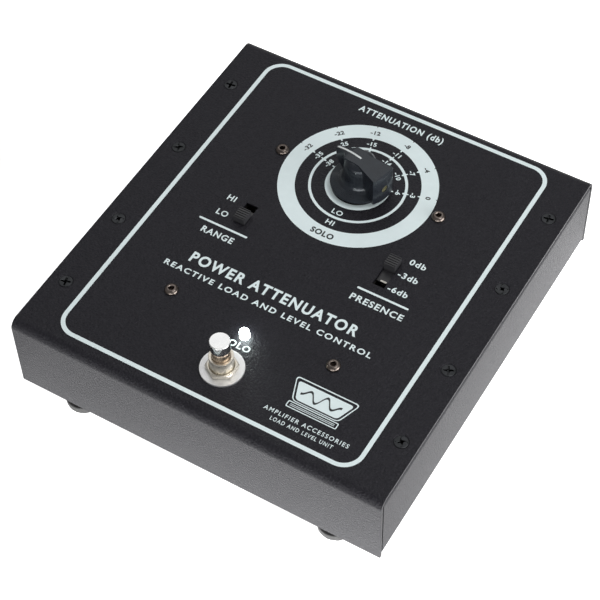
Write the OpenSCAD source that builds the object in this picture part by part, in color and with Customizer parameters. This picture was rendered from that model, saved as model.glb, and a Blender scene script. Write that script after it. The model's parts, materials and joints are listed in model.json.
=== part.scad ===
// Desktop reactive power attenuator in a two-piece folded steel case.
// The top carries a stepped attenuation dial, two slide switches, a lamp and
// a footswitch. The rear carries three jack sockets, a level control and the
// power inlet. The part rests on four rubber feet at z = 0, and the origin is
// under the centre of its overall box.

/* [Case] */
// Width of the case across its side faces
case_w = 200; // [196:1:206]
// Depth of the case from front face to rear face
case_d = 216; // [214:1:222]
// Height of the case without its feet
case_h = 46; // [45:0.5:50]
// Thickness of the folded sheet
sheet_t = 1.6; // [1.2:0.1:2]
// Outside radius of the cover's front and rear bends
cover_bend_r = 5; // [4:0.5:6]
// Outside radius of the chassis bends
chassis_bend_r = 3.5; // [2:0.5:4]
// Width of the chassis flanges that the cover is screwed to
flange_w = 17; // [15:1:19]
// Gap between the cover and the chassis
seam_gap = 0.9; // [0.2:0.1:1]

/* [Feet] */
// Height of the rubber feet
foot_h = 9.5; // [8:0.5:12]
// Radius of a foot where it meets the case
foot_top_r = 9.3; // [8:0.1:9.5]
// Radius of a foot at the floor
foot_floor_r = 8.7; // [7.5:0.1:9]
// Sideways distance of the feet from the middle of the case
foot_x = 71.3; // [60:0.5:85]
// Fore and aft distance of the feet from the middle of the case
foot_y = 98.5; // [90:0.5:98.5]

/* [Screws] */
// Sideways distance of the cover screws from the middle
cover_screw_x = 91.5; // [88:0.5:93]
// Fore and aft places of the cover screws, front to rear
cover_screw_y = [-74.5, -29.5, 24.8, 74.8]; // [-80:0.1:80]
// Radius of the cover screws' countersunk heads
cover_screw_head_r = 3.7; // [3:0.05:3.9]
// Sideways distance of the board screws from the middle
board_screw_x = 44.5; // [40:0.5:48]
// Fore and aft places of the board screws
board_screw_y = [-53.8, 48.9]; // [-60:0.1:60]

/* [Attenuation dial] */
// Distance of the switch shaft to the right of the middle of the case
dial_x = 1.2; // [0:0.1:2]
// Distance of the switch shaft behind the middle of the case
dial_y = 48.1; // [40:0.1:55]
// Radius of the knob's skirt
skirt_r = 15.3; // [14:0.1:16]
// Height of the knob's top above the panel
knob_h = 20; // [19:0.5:23]
// Direction of the first detent, counted from +X
first_detent = 165; // [150:1:180]

/* [Slide switches] */
// Middle of the two-position range slot
range_slot = [-38.6, 3.9]; // [-60:0.1:60]
// Middle of the three-position presence slot
presence_slot = [39.5, 6.2]; // [-60:0.1:60]
// Width of both slots
slot_w = 6.6; // [6:0.1:7]
// Length of the range slot
range_slot_l = 13.2; // [12:0.1:15]
// Length of the presence slot
presence_slot_l = 18; // [17:0.1:22]
// Size of a switch lever: width, length, height above the panel
lever = [6.1, 6.8, 3.7]; // [2:0.1:9]

/* [Footswitch] */
// Distance of the footswitch to the right of the middle of the case
footswitch_x = 0.8; // [0:0.1:2]
// Distance of the footswitch in front of the middle of the case
footswitch_y = -80.5; // [-85:0.1:-75]
// Height of the bushing above the panel
bushing_h = 10.4; // [8:0.1:11]
// Height of the button's top above the panel
button_h = 21.7; // [20:0.1:24]
// Distance that the button travels
button_travel = 4.5; // [3:0.5:5]
// Distance of the lamp in front of the middle of the case
lamp_y = -59.5; // [-64:0.1:-52]

/* [Rear panel] */
// Sideways places of the amplifier, speaker and line sockets
jack_x = [-62, -26, 10]; // [-80:1:80]
// Sideways place of the line level control
level_x = 44; // [40:1:50]
// Sideways place of the power inlet
inlet_x = 74; // [68:1:80]
// Height of the rear connectors above the case bottom
rear_z = 21; // [20:0.5:24]
// Distance that the level knob stands out of the rear face
level_reach = 14; // [12:0.5:16]

/* [Hidden] */

// Colours
powder_black = "#2c2c2e";
screw_black = "#1b1b1c";
rubber_grey = "#3a3a3b";
bakelite = "#17181a";
nickel = "#b9bbbd";
zinc = "#a5a7a8";
bronze = "#5b4334";
brass = "#b08d4a";
copper = "#a4572d";
board_green = "#1f4d33";
lens_white = "#f4f8ff";
washer_white = "#c9cccd";
core_grey = "#55585a";
cap_red = "#8e2b22";
relay_grey = "#d8d6cc";

$fn = 48;
eps = 0.01;
contact_gap = 0.05;                  // air between faces that meet when assembled
thread_gap = 0.1;                    // radial air around a screw's thread
nut_gap = 0.08;                      // radial air between a bushing and its nut
case_y = -level_reach / 2;           // middle of the case in the part's frame
case_z = foot_h;                     // underside of the case
panel_z = case_z + case_h;           // top face of the panel
under_panel_z = panel_z - sheet_t;
floor_plate_z = case_z + sheet_t;    // inner face of the chassis floor
rear_y = case_y + case_d / 2;        // outer face of the rear wall
rear_axis_z = case_z + rear_z;
wall_in_y = rear_y - sheet_t;
chassis_d = case_d - 2 * (sheet_t + seam_gap);
chassis_h = case_h - sheet_t - thread_gap;

// Cover and board fasteners
cover_screw_r = 1.75;
cover_screw_l = 9;
cover_head_h = 1.45;
cover_head_sink = 0.1;               // head below the panel face
clinch_nut_r = 3.6;
clinch_nut_h = 3;
foot_screw_r = 2;
foot_screw_l = 14;
foot_screw_head_r = 3.6;
foot_screw_head_h = 2.4;
foot_nut_size = [7, 3.2];            // across flats, height
foot_washer_h = 1;
foot_pocket_r = 5;
foot_pocket_h = 5.5;
board_screw_r = 1.5;
board_screw_l = 5;                   // thread below the panel face
board_screw_head_r = 3.5;
board_screw_face_r = 2.3;
board_screw_rim_h = 0.7;
board_screw_dome_h = 1.3;
board_screw_socket_af = 2.4;
lower_screw_head = [2, 2.8, 2];      // radius below, radius above, height
lower_screw_l = 7;

// Ventilation slots in the chassis floor
vent_pitch = 9;
vent_size = [3, 20];
vent_corner_r = 1.4;
vent_row_shift = 14;
vent_y = 8;

// Board and what hangs below it
board_drop = 11;                     // panel underside to board top
board_t = 1.6;
board_x = 52;
board_front = -67;
board_rear = 68;
board_top_z = under_panel_z - board_drop;
board_low_z = board_top_z - board_t;
standoff_af = 6;

// Rotary switch under the dial
rotary_r = 12.5;
rotary_bushing_r = 4.7;
rotary_bushing_h = 5;
dial_shaft_r = 3.175;
dial_shaft_top = 15.5;               // above the panel
rotary_nut_af = 12.7;
rotary_nut_h = 2.3;
rotary_washer_h = 0.5;
running_gap = 0.06;                  // radial gap of a shaft in its bushing
skirt_gap = 3;                       // panel to the knob's skirt
knob_tail_r = 16.6;                  // the tail's rounded end, from the shaft
knob_pocket_r = 8.7;
knob_pocket_top = 5.5;
set_screw_z = 10.5;
set_screw_r = 1.95;
set_screw_l = 12.9;

// Slide switch parts under the panel
switch_frame_w = 10;
switch_frame_h = 8;
switch_frame_wall = 1.4;             // frame beyond its recess at each end
shutter_t = 0.7;                     // thin plate that slides with the lever
shutter_w = 6.4;
shutter_drop = 0.2;                  // panel underside to the shutter
range_shutter_over = 3;              // shutter beyond the lever at each end
presence_shutter_over = 7;
recess_depth = 1.3;
recess_w = 7;
stem_w = 2;
stem_l = 5;
stem_depth = 3.6;
stem_shift = -1.6;                   // the stem sits left of the lever's middle
window_w = 6.2;
end_play = 0.15;                     // lever to slot end

// Footswitch
foot_bushing_r = 5.95;
plunger_r = 4.4;
plunger_bore_r = 4.48;
cap_r = 4.95;
cap_h = 5.8;
plunger_foot = -1;                   // lower end of the plunger, from the panel top
bore_foot = plunger_foot - button_travel - 6.5;
body_size = [17, 17.5, 18];
foot_nut_af = 14;
foot_nut_h = 2.2;
foot_washer_r = 10.7;
foot_washer_t = 1.2;
lock_nut_h = 2.2;

// Lamp
lamp_r = 2.45;

// Jack sockets
plug_bore_r = 3.3;
plug_depth = 31;
jack_bushing_r = 4.7;
jack_bushing_out = 3.8;
jack_body = [16, 30, 14];
jack_washer_r = 7.5;
jack_washer_t = 0.6;
jack_nut_af = 12.7;
jack_nut_t = 2.2;
jack_clearance = 0.1;                // radial, bushing to its hole and washer

// Level control
level_bushing_r = 3.5;
level_bushing_out = 4.5;
level_shaft_r = 3;
level_knob_r = 5.6;
level_knob_gap = 2.6;                // rear face to the knob
level_nut_af = 10;
level_nut_t = 2;
level_knob_bevel = 0.8;
level_knob_flutes = 12;
level_knob_flute_r = 0.9;
level_pot_bore = 8;                  // rear face to the bore's inner end
level_pot_r = 8;
level_pot_l = 9;

// Power inlet
inlet_r = 5.5;
inlet_flange_r = 7;
inlet_flange_t = 1.8;
inlet_l = 14;
inlet_bore_r = 3;
inlet_bore_l = 9.5;
inlet_pin_r = 1;
inlet_nut_size = [14, 2.5];          // across flats, height

// Parts on the chassis floor, as places from the middle of the case
coil_at = [-50, 17];
coil_r = 24;
coil_h = 24;
coil_core_r = 9;
coil_flange_t = 2;
coil_bolt_r = 2;
coil_bolt_head = [7, 2.8];           // across flats, height
core_at = [50, 22];
core_size = [54, 45, 16];
core_window = [9, 27];
core_limb = 18;                      // width of the middle limb
core_lift = 6.5;
bracket_t = 1.5;
bracket_w = 30;
bracket_foot = 11;
bracket_screw_x = 6.5;               // core side to the bracket's screw
bracket_screw_r = 2;
bracket_screw_head = [3.6, 2.2];     // radius, height
winding_size = [34, 26, 27];
spreader_at = [-42, -41];
spreader_size = [72, 52, 3];
resistor_rows = [-13, 13];
resistor_size = [46, 15, 15];
resistor_foot_t = 2.5;
resistor_lug = [9, 8.4];
resistor_lug_y = 10;
resistor_hole = [18, 10.5];
resistor_hole_r = 1.6;
resistor_screw_r = 1.5;
resistor_screw_head = [2.8, 1.8];    // radius, height
resistor_pin_r = 1.2;
resistor_pin_l = 6;

function arc(centre, r, from, to, steps) =
    [for (i = [0:steps]) let (a = from + (to - from) * i / steps)
        [centre[0] + r * cos(a), centre[1] + r * sin(a)]];

function mirrored(points) = [for (i = [len(points) - 1:-1:0]) [points[i][0], -points[i][1]]];

// Hexagon with its flats af apart; its corners point along Y
module hex_prism(af, h) {
    rotate(30) cylinder(r = af / sqrt(3), h = h, $fn = 6);
}

module ring(outer_r, inner_r, h) {
    difference() {
        cylinder(r = outer_r, h = h);
        translate([0, 0, -1]) cylinder(r = inner_r, h = h + 2);
    }
}

module hex_nut(af, bore_r, h) {
    difference() {
        hex_prism(af, h);
        translate([0, 0, -1]) cylinder(r = bore_r, h = h + 2);
    }
}

// Box with its corners rounded in plan, standing on z = 0
module plan_rounded_box(size, r) {
    linear_extrude(height = size[2]) {
        square([size[0] - 2 * r, size[1]], center = true);
        square([size[0], size[1] - 2 * r], center = true);
        for (x = [-1, 1], y = [-1, 1])
            translate([x * (size[0] / 2 - r), y * (size[1] / 2 - r)]) circle(r = r);
    }
}

module box_on(size) {
    translate([-size[0] / 2, -size[1] / 2, 0]) cube(size);
}

// Places children in the case's own plan, at height z
module on_case(at, z) {
    translate([at[0], case_y + at[1], z]) children();
}

// Turns children so that their +Z becomes the rear wall's outward normal
module on_rear(x) {
    translate([x, rear_y, rear_axis_z]) rotate([-90, 0, 0]) children();
}

module at_cover_screws(z) {
    for (x = [-1, 1], y = cover_screw_y) on_case([x * cover_screw_x, y], z) children();
}

module at_board_screws(z) {
    for (x = [-1, 1], y = board_screw_y) on_case([x * board_screw_x, y], z) children();
}

module at_feet(z) {
    for (x = [-1, 1], y = [-1, 1]) on_case([x * foot_x, y * foot_y], z) children();
}

// ---- Case ----

// Section with its two upper corners rounded, standing on y = 0
module arched_section(w, h, r) {
    translate([-w / 2, 0]) square([w, h - r]);
    translate([-w / 2 + r, 0]) square([w - 2 * r, h]);
    for (side = [-1, 1]) translate([side * (w / 2 - r), h - r]) circle(r = r);
}

module cover_section() {
    difference() {
        arched_section(case_d, case_h, cover_bend_r);
        translate([0, -1])
            arched_section(case_d - 2 * sheet_t, case_h - sheet_t + 1, cover_bend_r - sheet_t);
    }
}

module slot_cut(at, length) {
    on_case(at, under_panel_z - 1) box_on([slot_w, length, sheet_t + 2]);
}

module top_cover() color(powder_black) difference() {
    translate([0, case_y, case_z]) rotate([90, 0, 90])
        linear_extrude(height = case_w, center = true) cover_section();
    on_case([dial_x, dial_y], under_panel_z - 1) cylinder(r = rotary_bushing_r + 0.1, h = sheet_t + 2);
    on_case([0, lamp_y], under_panel_z - 1) cylinder(r = lamp_r + 0.15, h = sheet_t + 2);
    on_case([footswitch_x, footswitch_y], under_panel_z - 1)
        cylinder(r = foot_bushing_r + 0.15, h = sheet_t + 2);
    slot_cut(range_slot, range_slot_l);
    slot_cut(presence_slot, presence_slot_l);
    at_board_screws(under_panel_z - 1)
        cylinder(r = board_screw_r + thread_gap, h = sheet_t + 2, $fn = 24);
    at_cover_screws(under_panel_z - 1)
        cylinder(r = cover_screw_r + thread_gap, h = sheet_t + 2, $fn = 24);
    at_cover_screws(panel_z - cover_head_h) cylinder(
        r1 = cover_screw_r + thread_gap,
        r2 = cover_screw_head_r + 2 * thread_gap,
        h = cover_head_h + eps,
        $fn = 32);
    for (x = jack_x) on_rear(x)
        translate([0, 0, -sheet_t - 1])
            cylinder(r = jack_bushing_r + jack_clearance, h = sheet_t + 2);
    on_rear(level_x)
        translate([0, 0, -sheet_t - 1]) cylinder(r = level_bushing_r + 0.1, h = sheet_t + 2);
    on_rear(inlet_x)
        translate([0, 0, -sheet_t - 1]) cylinder(r = inlet_r + 0.1, h = sheet_t + 2);
}

// Closed box section with all four bends; the slot along its top is cut after
module chassis_ring(w, h, r) {
    translate([-w / 2, r]) square([w, h - 2 * r]);
    translate([-w / 2 + r, 0]) square([w - 2 * r, h]);
    for (x = [-1, 1], y = [r, h - r]) translate([x * (w / 2 - r), y]) circle(r = r);
}

module vent_slots() {
    for (row = [-1, 1], i = [-4:4])
        on_case([i * vent_pitch, row * vent_row_shift + vent_y], case_z - 1)
            plan_rounded_box([vent_size[0], vent_size[1], sheet_t + 2], vent_corner_r);
}

module chassis_section() {
    difference() {
        chassis_ring(case_w, chassis_h, chassis_bend_r);
        translate([0, sheet_t]) chassis_ring(
            case_w - 2 * sheet_t, chassis_h - 2 * sheet_t, chassis_bend_r - sheet_t);
        translate([-case_w / 2 + flange_w, chassis_h / 2])
            square([case_w - 2 * flange_w, chassis_h]);
    }
}

// The folded section, with its upper corners cut to clear the cover's bends
module base_chassis() color(powder_black) difference() {
    translate([0, case_y, case_z]) intersection() {
        rotate([90, 0, 0]) linear_extrude(height = chassis_d, center = true) chassis_section();
        rotate([90, 0, 90]) linear_extrude(height = case_w + 2, center = true)
            arched_section(chassis_d, chassis_h, cover_bend_r - sheet_t);
    }
    at_cover_screws(case_z + chassis_h - sheet_t - 1)
        cylinder(r = cover_screw_r + thread_gap, h = sheet_t + 2, $fn = 24);
    at_feet(case_z - 1) cylinder(r = foot_screw_r + thread_gap, h = sheet_t + 2, $fn = 24);
    vent_slots();
}

module phillips_recess(width, depth) {
    for (a = [0, 90]) rotate(a) translate([0, 0, -depth / 2]) box_on([width * 0.27, width, depth]);
}

module cover_screws() color(screw_black) at_cover_screws(panel_z) difference() {
    union() {
        translate([0, 0, -cover_head_h]) cylinder(
            r1 = cover_screw_r,
            r2 = cover_screw_head_r,
            h = cover_head_h - cover_head_sink,
            $fn = 32);
        translate([0, 0, -cover_screw_l])
            cylinder(r = cover_screw_r, h = cover_screw_l - cover_head_h + eps, $fn = 24);
    }
    translate([0, 0, -0.5]) phillips_recess(3.6, 1.6);
}

module clinch_nuts() color(zinc)
    at_cover_screws(case_z + chassis_h - sheet_t - clinch_nut_h - contact_gap)
        ring(clinch_nut_r, cover_screw_r + thread_gap, clinch_nut_h, $fn = 24);

// ---- Feet ----

module rubber_feet() color(rubber_grey) at_feet(0) rotate_extrude() polygon([
    [foot_pocket_r, 0],
    [foot_floor_r - 1.2, 0],
    [foot_floor_r - 0.35, 0.35],
    [foot_floor_r, 1.2],
    [foot_top_r, foot_h - 0.8],
    [foot_top_r - 0.5, foot_h - contact_gap],
    [foot_screw_r + 0.3, foot_h - contact_gap],
    [foot_screw_r + 0.3, foot_pocket_h],
    [foot_pocket_r, foot_pocket_h]
]);

module foot_washers() color(zinc) at_feet(foot_pocket_h - foot_washer_h - contact_gap)
    ring(foot_pocket_r - 0.3, foot_screw_r + 0.2, foot_washer_h, $fn = 32);

module foot_screws() color(zinc)
    at_feet(foot_pocket_h - foot_washer_h - foot_screw_head_h - 2 * contact_gap) difference() {
        union() {
            cylinder(r1 = foot_screw_head_r - 0.8, r2 = foot_screw_head_r, h = foot_screw_head_h);
            cylinder(r = foot_screw_r, h = foot_screw_l, $fn = 24);
        }
        phillips_recess(3.8, 2.4);
    }

module foot_nuts() color(zinc) at_feet(floor_plate_z + contact_gap)
    hex_nut(foot_nut_size[0], foot_screw_r + thread_gap, foot_nut_size[1], $fn = 24);

// ---- Control board and its fixings ----

module control_board() color(board_green) difference() {
    translate([-board_x, case_y + board_front, board_low_z])
        cube([2 * board_x, board_rear - board_front, board_t]);
    at_board_screws(board_low_z - 1)
        cylinder(r = board_screw_r + thread_gap, h = board_t + 2, $fn = 24);
}

// Button-head screws with a hexagon socket, on top of the panel
module board_screws() color(bronze) at_board_screws(panel_z + contact_gap) difference() {
    union() {
        cylinder(r = board_screw_head_r, h = board_screw_rim_h);
        translate([0, 0, board_screw_rim_h])
            cylinder(r1 = board_screw_head_r, r2 = board_screw_face_r, h = board_screw_dome_h);
        translate([0, 0, -board_screw_l])
            cylinder(r = board_screw_r, h = board_screw_l + eps, $fn = 24);
    }
    translate([0, 0, board_screw_rim_h]) hex_prism(board_screw_socket_af, board_screw_dome_h + 1);
}

module board_standoffs() color(brass) at_board_screws(board_top_z + contact_gap)
    hex_nut(standoff_af, board_screw_r + thread_gap, board_drop - 2 * contact_gap, $fn = 24);

module board_lower_screws() color(zinc)
    at_board_screws(board_low_z - lower_screw_head[2] - contact_gap) difference() {
        union() {
            cylinder(r1 = lower_screw_head[0], r2 = lower_screw_head[1], h = lower_screw_head[2]);
            cylinder(r = board_screw_r, h = lower_screw_l, $fn = 24);
        }
        phillips_recess(2.8, 2);
    }

// ---- Attenuation control ----

// Grip seen from above, its beak along +X: a tail that widens outwards and a hollow-sided beak
grip_tail = [[-17.5, 7.35], [-2.5, 4.3], [3, 4.9]];
beak_hollow = arc([10.8, 6.4], 4.46, 203.5, 265, 8);
beak_tip = [[16, 0.9], [16.4, 0.4]];
grip_side = concat(grip_tail, beak_hollow, beak_tip);

// Grip seen from the side: flat over the tail, falling along an arc to the beak
grip_fall_r = 41;
grip_fall = arc([-1, knob_h - grip_fall_r], grip_fall_r, 90, 64.5, 12);
grip_profile = concat(
    [[-17.5, 3.2], [-17.5, knob_h - 1.4], [-16.2, knob_h - 0.35], [-15.4, knob_h]],
    grip_fall,
    [[16.7, 10.3], [10.4, 5.6], [10.4, 3.2]]
);

// Half section of the skirt, its sloping top, the flared hub and the hub's rounded crown
knob_section = [
    [0, skirt_gap],
    [skirt_r - 0.4, skirt_gap],
    [skirt_r, skirt_gap + 0.4],
    [skirt_r, 3.9],
    [skirt_r - 0.4, 4.3],
    [11.1, 5.5],
    [10.6, 6],
    [9.9, 6.6],
    [9.2, 8],
    [8.8, 10],
    [8.55, 12.5],
    [8.3, 14.8],
    [8, 16.6],
    [7.4, 18],
    [6.4, 18.9],
    [5.1, 19.35],
    [3.6, 19.6],
    [0, 19.75]
];

module pointer_grip() {
    intersection() {
        linear_extrude(height = knob_h + 5) polygon(concat(grip_side, mirrored(grip_side)));
        rotate([90, 0, 0]) linear_extrude(height = 20, center = true) polygon(grip_profile);
        cylinder(r = knob_tail_r, h = knob_h + 5);
    }
}

module on_dial(z) {
    on_case([dial_x, dial_y], z) children();
}

module attenuation_knob() color(bakelite) on_dial(panel_z) rotate(first_detent) difference() {
    union() {
        rotate_extrude($fn = 96) polygon(knob_section);
        pointer_grip();
    }
    translate([0, 0, -1]) cylinder(r = knob_pocket_r, h = knob_pocket_top + 1);
    translate([0, 0, -1]) cylinder(r = dial_shaft_r + 0.03, h = dial_shaft_top + 1.5);
    translate([-dial_shaft_r + 1, 0, set_screw_z]) rotate([0, -90, 0])
        cylinder(r = set_screw_r + 0.05, h = 20, $fn = 32);
}

module knob_set_screw() color(brass) on_dial(panel_z + set_screw_z) rotate(first_detent)
    translate([-dial_shaft_r - 0.05, 0, 0]) rotate([0, -90, 0]) difference() {
        cylinder(r = set_screw_r, h = set_screw_l, $fn = 32);
        translate([0, 0, set_screw_l - 1]) box_on([0.6, 5, 2]);
    }

module rotary_switch_shaft() color(nickel)
    on_dial(panel_z - 9) cylinder(r = dial_shaft_r, h = 9 + dial_shaft_top);

module rotary_switch_body() color(bakelite) on_dial(panel_z) difference() {
    union() {
        translate([0, 0, board_top_z - panel_z + 0.4])
            cylinder(r = rotary_r, h = board_drop - 0.4 - contact_gap);
        translate([0, 0, -sheet_t - contact_gap - eps])
            cylinder(r = rotary_bushing_r, h = sheet_t + contact_gap + rotary_bushing_h);
    }
    translate([0, 0, -9.4]) cylinder(r = dial_shaft_r + running_gap, h = 20);
}

module rotary_switch_washer() color(nickel) on_dial(panel_z + contact_gap)
    ring(7.2, rotary_bushing_r + 0.1, rotary_washer_h);

module rotary_switch_nut() color(nickel)
    on_dial(panel_z + rotary_washer_h + 2 * contact_gap)
        hex_nut(rotary_nut_af, rotary_bushing_r + nut_gap, rotary_nut_h);

// ---- Slide switches ----

function travel(slot_l) = slot_l - lever[1] - 2 * end_play;
range_travel = travel(range_slot_l);
presence_travel = travel(presence_slot_l);

// Frame under the panel. Its recess holds the shutter, its channel guides the
// stem, and its window is the open end of the slot, at window_side.
module slide_frame(slot_at, slot_l, over, window_l, window_side) {
    recess_l = lever[1] + 2 * over + travel(slot_l) + 0.6;
    on_case(slot_at, under_panel_z - contact_gap) difference() {
        translate([0, 0, -switch_frame_h])
            box_on([switch_frame_w, recess_l + 2 * switch_frame_wall, switch_frame_h]);
        translate([0, 0, -recess_depth]) box_on([recess_w, recess_l, recess_depth + 1]);
        translate([stem_shift, 0, -stem_depth - 0.6])
            box_on([stem_w + 0.3, stem_l + travel(slot_l) + 0.6, stem_depth + 1]);
        translate([0, window_side * (slot_l - window_l) / 2, -switch_frame_h + 1])
            box_on([window_w, window_l, switch_frame_h]);
    }
}

// Lever with cross ribs over its shutter and stem; shift moves it along its slot
module slide_lever(slot_at, shift, over) {
    ribs = 5;
    pitch = lever[1] / ribs;
    on_case([slot_at[0], slot_at[1] + shift], under_panel_z) difference() {
        union() {
            translate([0, 0, -shutter_drop - eps])
                box_on([lever[0], lever[1], sheet_t + lever[2] + shutter_drop + eps]);
            translate([0, 0, -shutter_drop - shutter_t])
                box_on([shutter_w, lever[1] + 2 * over, shutter_t]);
            translate([stem_shift, 0, -stem_depth]) box_on([stem_w, stem_l, stem_depth - shutter_drop]);
        }
        for (i = [0:ribs - 1])
            translate([0, (i + 0.5) * pitch - lever[1] / 2, sheet_t + lever[2] - 0.6])
                box_on([lever[0] + 1, pitch * 0.4, 1]);
    }
}

module range_switch_frame() color(nickel)
    slide_frame(range_slot, range_slot_l, range_shutter_over, 2.2, 1);

module range_switch_lever() color(bakelite)
    slide_lever(range_slot, -range_travel / 2, range_shutter_over);

module presence_switch_frame() color(nickel)
    slide_frame(presence_slot, presence_slot_l, presence_shutter_over, 3.7, -1);

module presence_switch_lever() color(bakelite)
    slide_lever(presence_slot, presence_travel / 2, presence_shutter_over);

// ---- Footswitch and lamp ----

module on_footswitch(z) {
    on_case([footswitch_x, footswitch_y], panel_z + z) children();
}

body_top = -sheet_t - lock_nut_h - 3 * contact_gap;

module footswitch_body() color(nickel) on_footswitch(0) difference() {
    union() {
        translate([0, 0, body_top - body_size[2]]) box_on(body_size);
        translate([0, 0, body_top - eps]) cylinder(r = foot_bushing_r, h = bushing_h - body_top);
    }
    translate([0, 0, bore_foot]) cylinder(r = plunger_bore_r, h = 40);
}

module footswitch_lock_nut() color(nickel)
    on_footswitch(-sheet_t - contact_gap - lock_nut_h)
        hex_nut(foot_nut_af, foot_bushing_r + nut_gap, lock_nut_h);

module footswitch_washer() color(washer_white) on_footswitch(contact_gap)
    ring(foot_washer_r, foot_bushing_r + 0.15, foot_washer_t, $fn = 72);

module footswitch_nut() color(nickel) on_footswitch(foot_washer_t + 2 * contact_gap)
    hex_nut(foot_nut_af, foot_bushing_r + nut_gap, foot_nut_h);

module footswitch_button() color(nickel) on_footswitch(0) rotate_extrude($fn = 64) polygon([
    [0, plunger_foot],
    [plunger_r, plunger_foot],
    [plunger_r, button_h - cap_h - 1.2],
    [plunger_r - 0.6, button_h - cap_h - 0.9],
    [plunger_r - 0.6, button_h - cap_h],
    [cap_r - 0.2, button_h - cap_h],
    [cap_r, button_h - cap_h + 0.3],
    [cap_r, button_h - 0.35],
    [cap_r - 0.35, button_h],
    [0, button_h]
]);

// Helical spring between the bore's foot and the plunger
spring_r = 3.3;
spring_wire_r = 0.4;
spring_turns = 5;
spring_steps = 20;
spring_sides = 6;
spring_low = bore_foot + spring_wire_r + 0.1;
spring_high = plunger_foot - spring_wire_r - 0.1;

function spring_ring(i) = let (
    a = 360 * i / spring_steps,
    z = spring_low + (spring_high - spring_low) * i / (spring_turns * spring_steps))
    [for (k = [0:spring_sides - 1]) let (
        b = 360 * k / spring_sides,
        r = spring_r + spring_wire_r * cos(b))
        [r * cos(a), r * sin(a), z + spring_wire_r * sin(b)]];

// Skin of a tube from its rings of points, with closed ends
module tube_from_rings(rings) {
    sides = len(rings[0]);
    last = len(rings) - 1;
    polyhedron(
        points = [for (one = rings, p = one) p],
        faces = concat(
            [[for (k = [0:sides - 1]) k]],
            [for (i = [0:last - 1], k = [0:sides - 1]) let (
                a = i * sides + k,
                b = i * sides + (k + 1) % sides)
                [a, a + sides, b + sides, b]],
            [[for (k = [sides - 1:-1:0]) last * sides + k]]
        )
    );
}

module footswitch_spring() color(zinc) on_footswitch(0)
    tube_from_rings([for (i = [0:spring_turns * spring_steps]) spring_ring(i)]);

module solo_lamp() color(lens_white) on_case([0, lamp_y], panel_z) {
    translate([0, 0, 2.6]) sphere(r = lamp_r);
    translate([0, 0, -4.5]) cylinder(r = lamp_r, h = 7.1);
    translate([0, 0, -4.5]) cylinder(r = lamp_r + 0.45, h = 1);
    for (side = [-1, 1]) translate([side * 1.27, 0, board_top_z - panel_z + contact_gap])
        box_on([0.5, 0.5, board_drop + sheet_t - 4.4]);
}

// ---- Rear connectors ----

module jack_socket(x) {
    on_rear(x) difference() {
        union() {
            translate([0, 0, -sheet_t - contact_gap - jack_body[1]])
                box_on([jack_body[0], jack_body[2], jack_body[1]]);
            translate([0, 0, -sheet_t - contact_gap - eps])
                cylinder(r = jack_bushing_r, h = sheet_t + contact_gap + jack_bushing_out);
        }
        translate([0, 0, jack_bushing_out - plug_depth])
            cylinder(r = plug_bore_r, h = plug_depth + 1);
    }
}

module amp_input_jack() color(bakelite) jack_socket(jack_x[0]);
module speaker_output_jack() color(bakelite) jack_socket(jack_x[1]);
module line_output_jack() color(bakelite) jack_socket(jack_x[2]);

module jack_washers() color(nickel) for (x = jack_x) on_rear(x)
    translate([0, 0, contact_gap])
        ring(jack_washer_r, jack_bushing_r + jack_clearance, jack_washer_t);

module jack_nuts() color(nickel) for (x = jack_x) on_rear(x)
    translate([0, 0, jack_washer_t + 2 * contact_gap])
        hex_nut(jack_nut_af, jack_bushing_r + nut_gap, jack_nut_t);

module line_level_pot() color(zinc) on_rear(level_x) difference() {
    union() {
        translate([0, 0, -sheet_t - contact_gap - level_pot_l])
            cylinder(r = level_pot_r, h = level_pot_l);
        translate([0, 0, -sheet_t - contact_gap - eps])
            cylinder(r = level_bushing_r, h = sheet_t + contact_gap + level_bushing_out);
    }
    translate([0, 0, -level_pot_bore])
        cylinder(r = level_shaft_r + running_gap, h = level_pot_bore + level_reach);
}

module line_level_nut() color(nickel) on_rear(level_x) translate([0, 0, contact_gap])
    hex_nut(level_nut_af, level_bushing_r + nut_gap, level_nut_t);

module line_level_shaft() color(nickel) on_rear(level_x)
    translate([0, 0, 0.4 - level_pot_bore])
        cylinder(r = level_shaft_r, h = level_pot_bore + level_reach - 2);

module line_level_knob() color(bakelite) on_rear(level_x) difference() {
    translate([0, 0, level_knob_gap]) union() {
        cylinder(r = level_knob_r, h = level_reach - level_knob_gap - level_knob_bevel);
        translate([0, 0, level_reach - level_knob_gap - level_knob_bevel]) cylinder(
            r1 = level_knob_r, r2 = level_knob_r - level_knob_bevel, h = level_knob_bevel);
    }
    translate([0, 0, -1]) cylinder(r = level_bushing_r + 0.6, h = level_bushing_out + 1.6);
    translate([0, 0, -1]) cylinder(r = level_shaft_r + 0.03, h = level_reach - 0.5);
    for (i = [0:level_knob_flutes - 1]) rotate((i + 0.5) * 360 / level_knob_flutes)
        translate([level_knob_r + 0.35, 0, level_knob_gap + 1.6])
            cylinder(r = level_knob_flute_r, h = level_reach, $fn = 24);
    translate([0, -level_knob_r + 1.6, level_reach - 0.5]) box_on([0.8, 4.4, 2]);
}

module power_inlet() color(bakelite) on_rear(inlet_x) {
    difference() {
        union() {
            translate([0, 0, -inlet_l]) cylinder(r = inlet_r, h = inlet_l + contact_gap + eps);
            translate([0, 0, contact_gap]) cylinder(r = inlet_flange_r, h = inlet_flange_t);
        }
        translate([0, 0, inlet_flange_t - inlet_bore_l]) cylinder(r = inlet_bore_r, h = 20);
    }
    translate([0, 0, -inlet_l + 2]) cylinder(r = inlet_pin_r, h = inlet_l - 2.5, $fn = 24);
}

module power_inlet_nut() color(nickel) on_rear(inlet_x)
    translate([0, 0, -sheet_t - contact_gap - inlet_nut_size[1]])
        hex_nut(inlet_nut_size[0], inlet_r + nut_gap, inlet_nut_size[1]);

// ---- Load parts on the chassis floor ----

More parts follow.
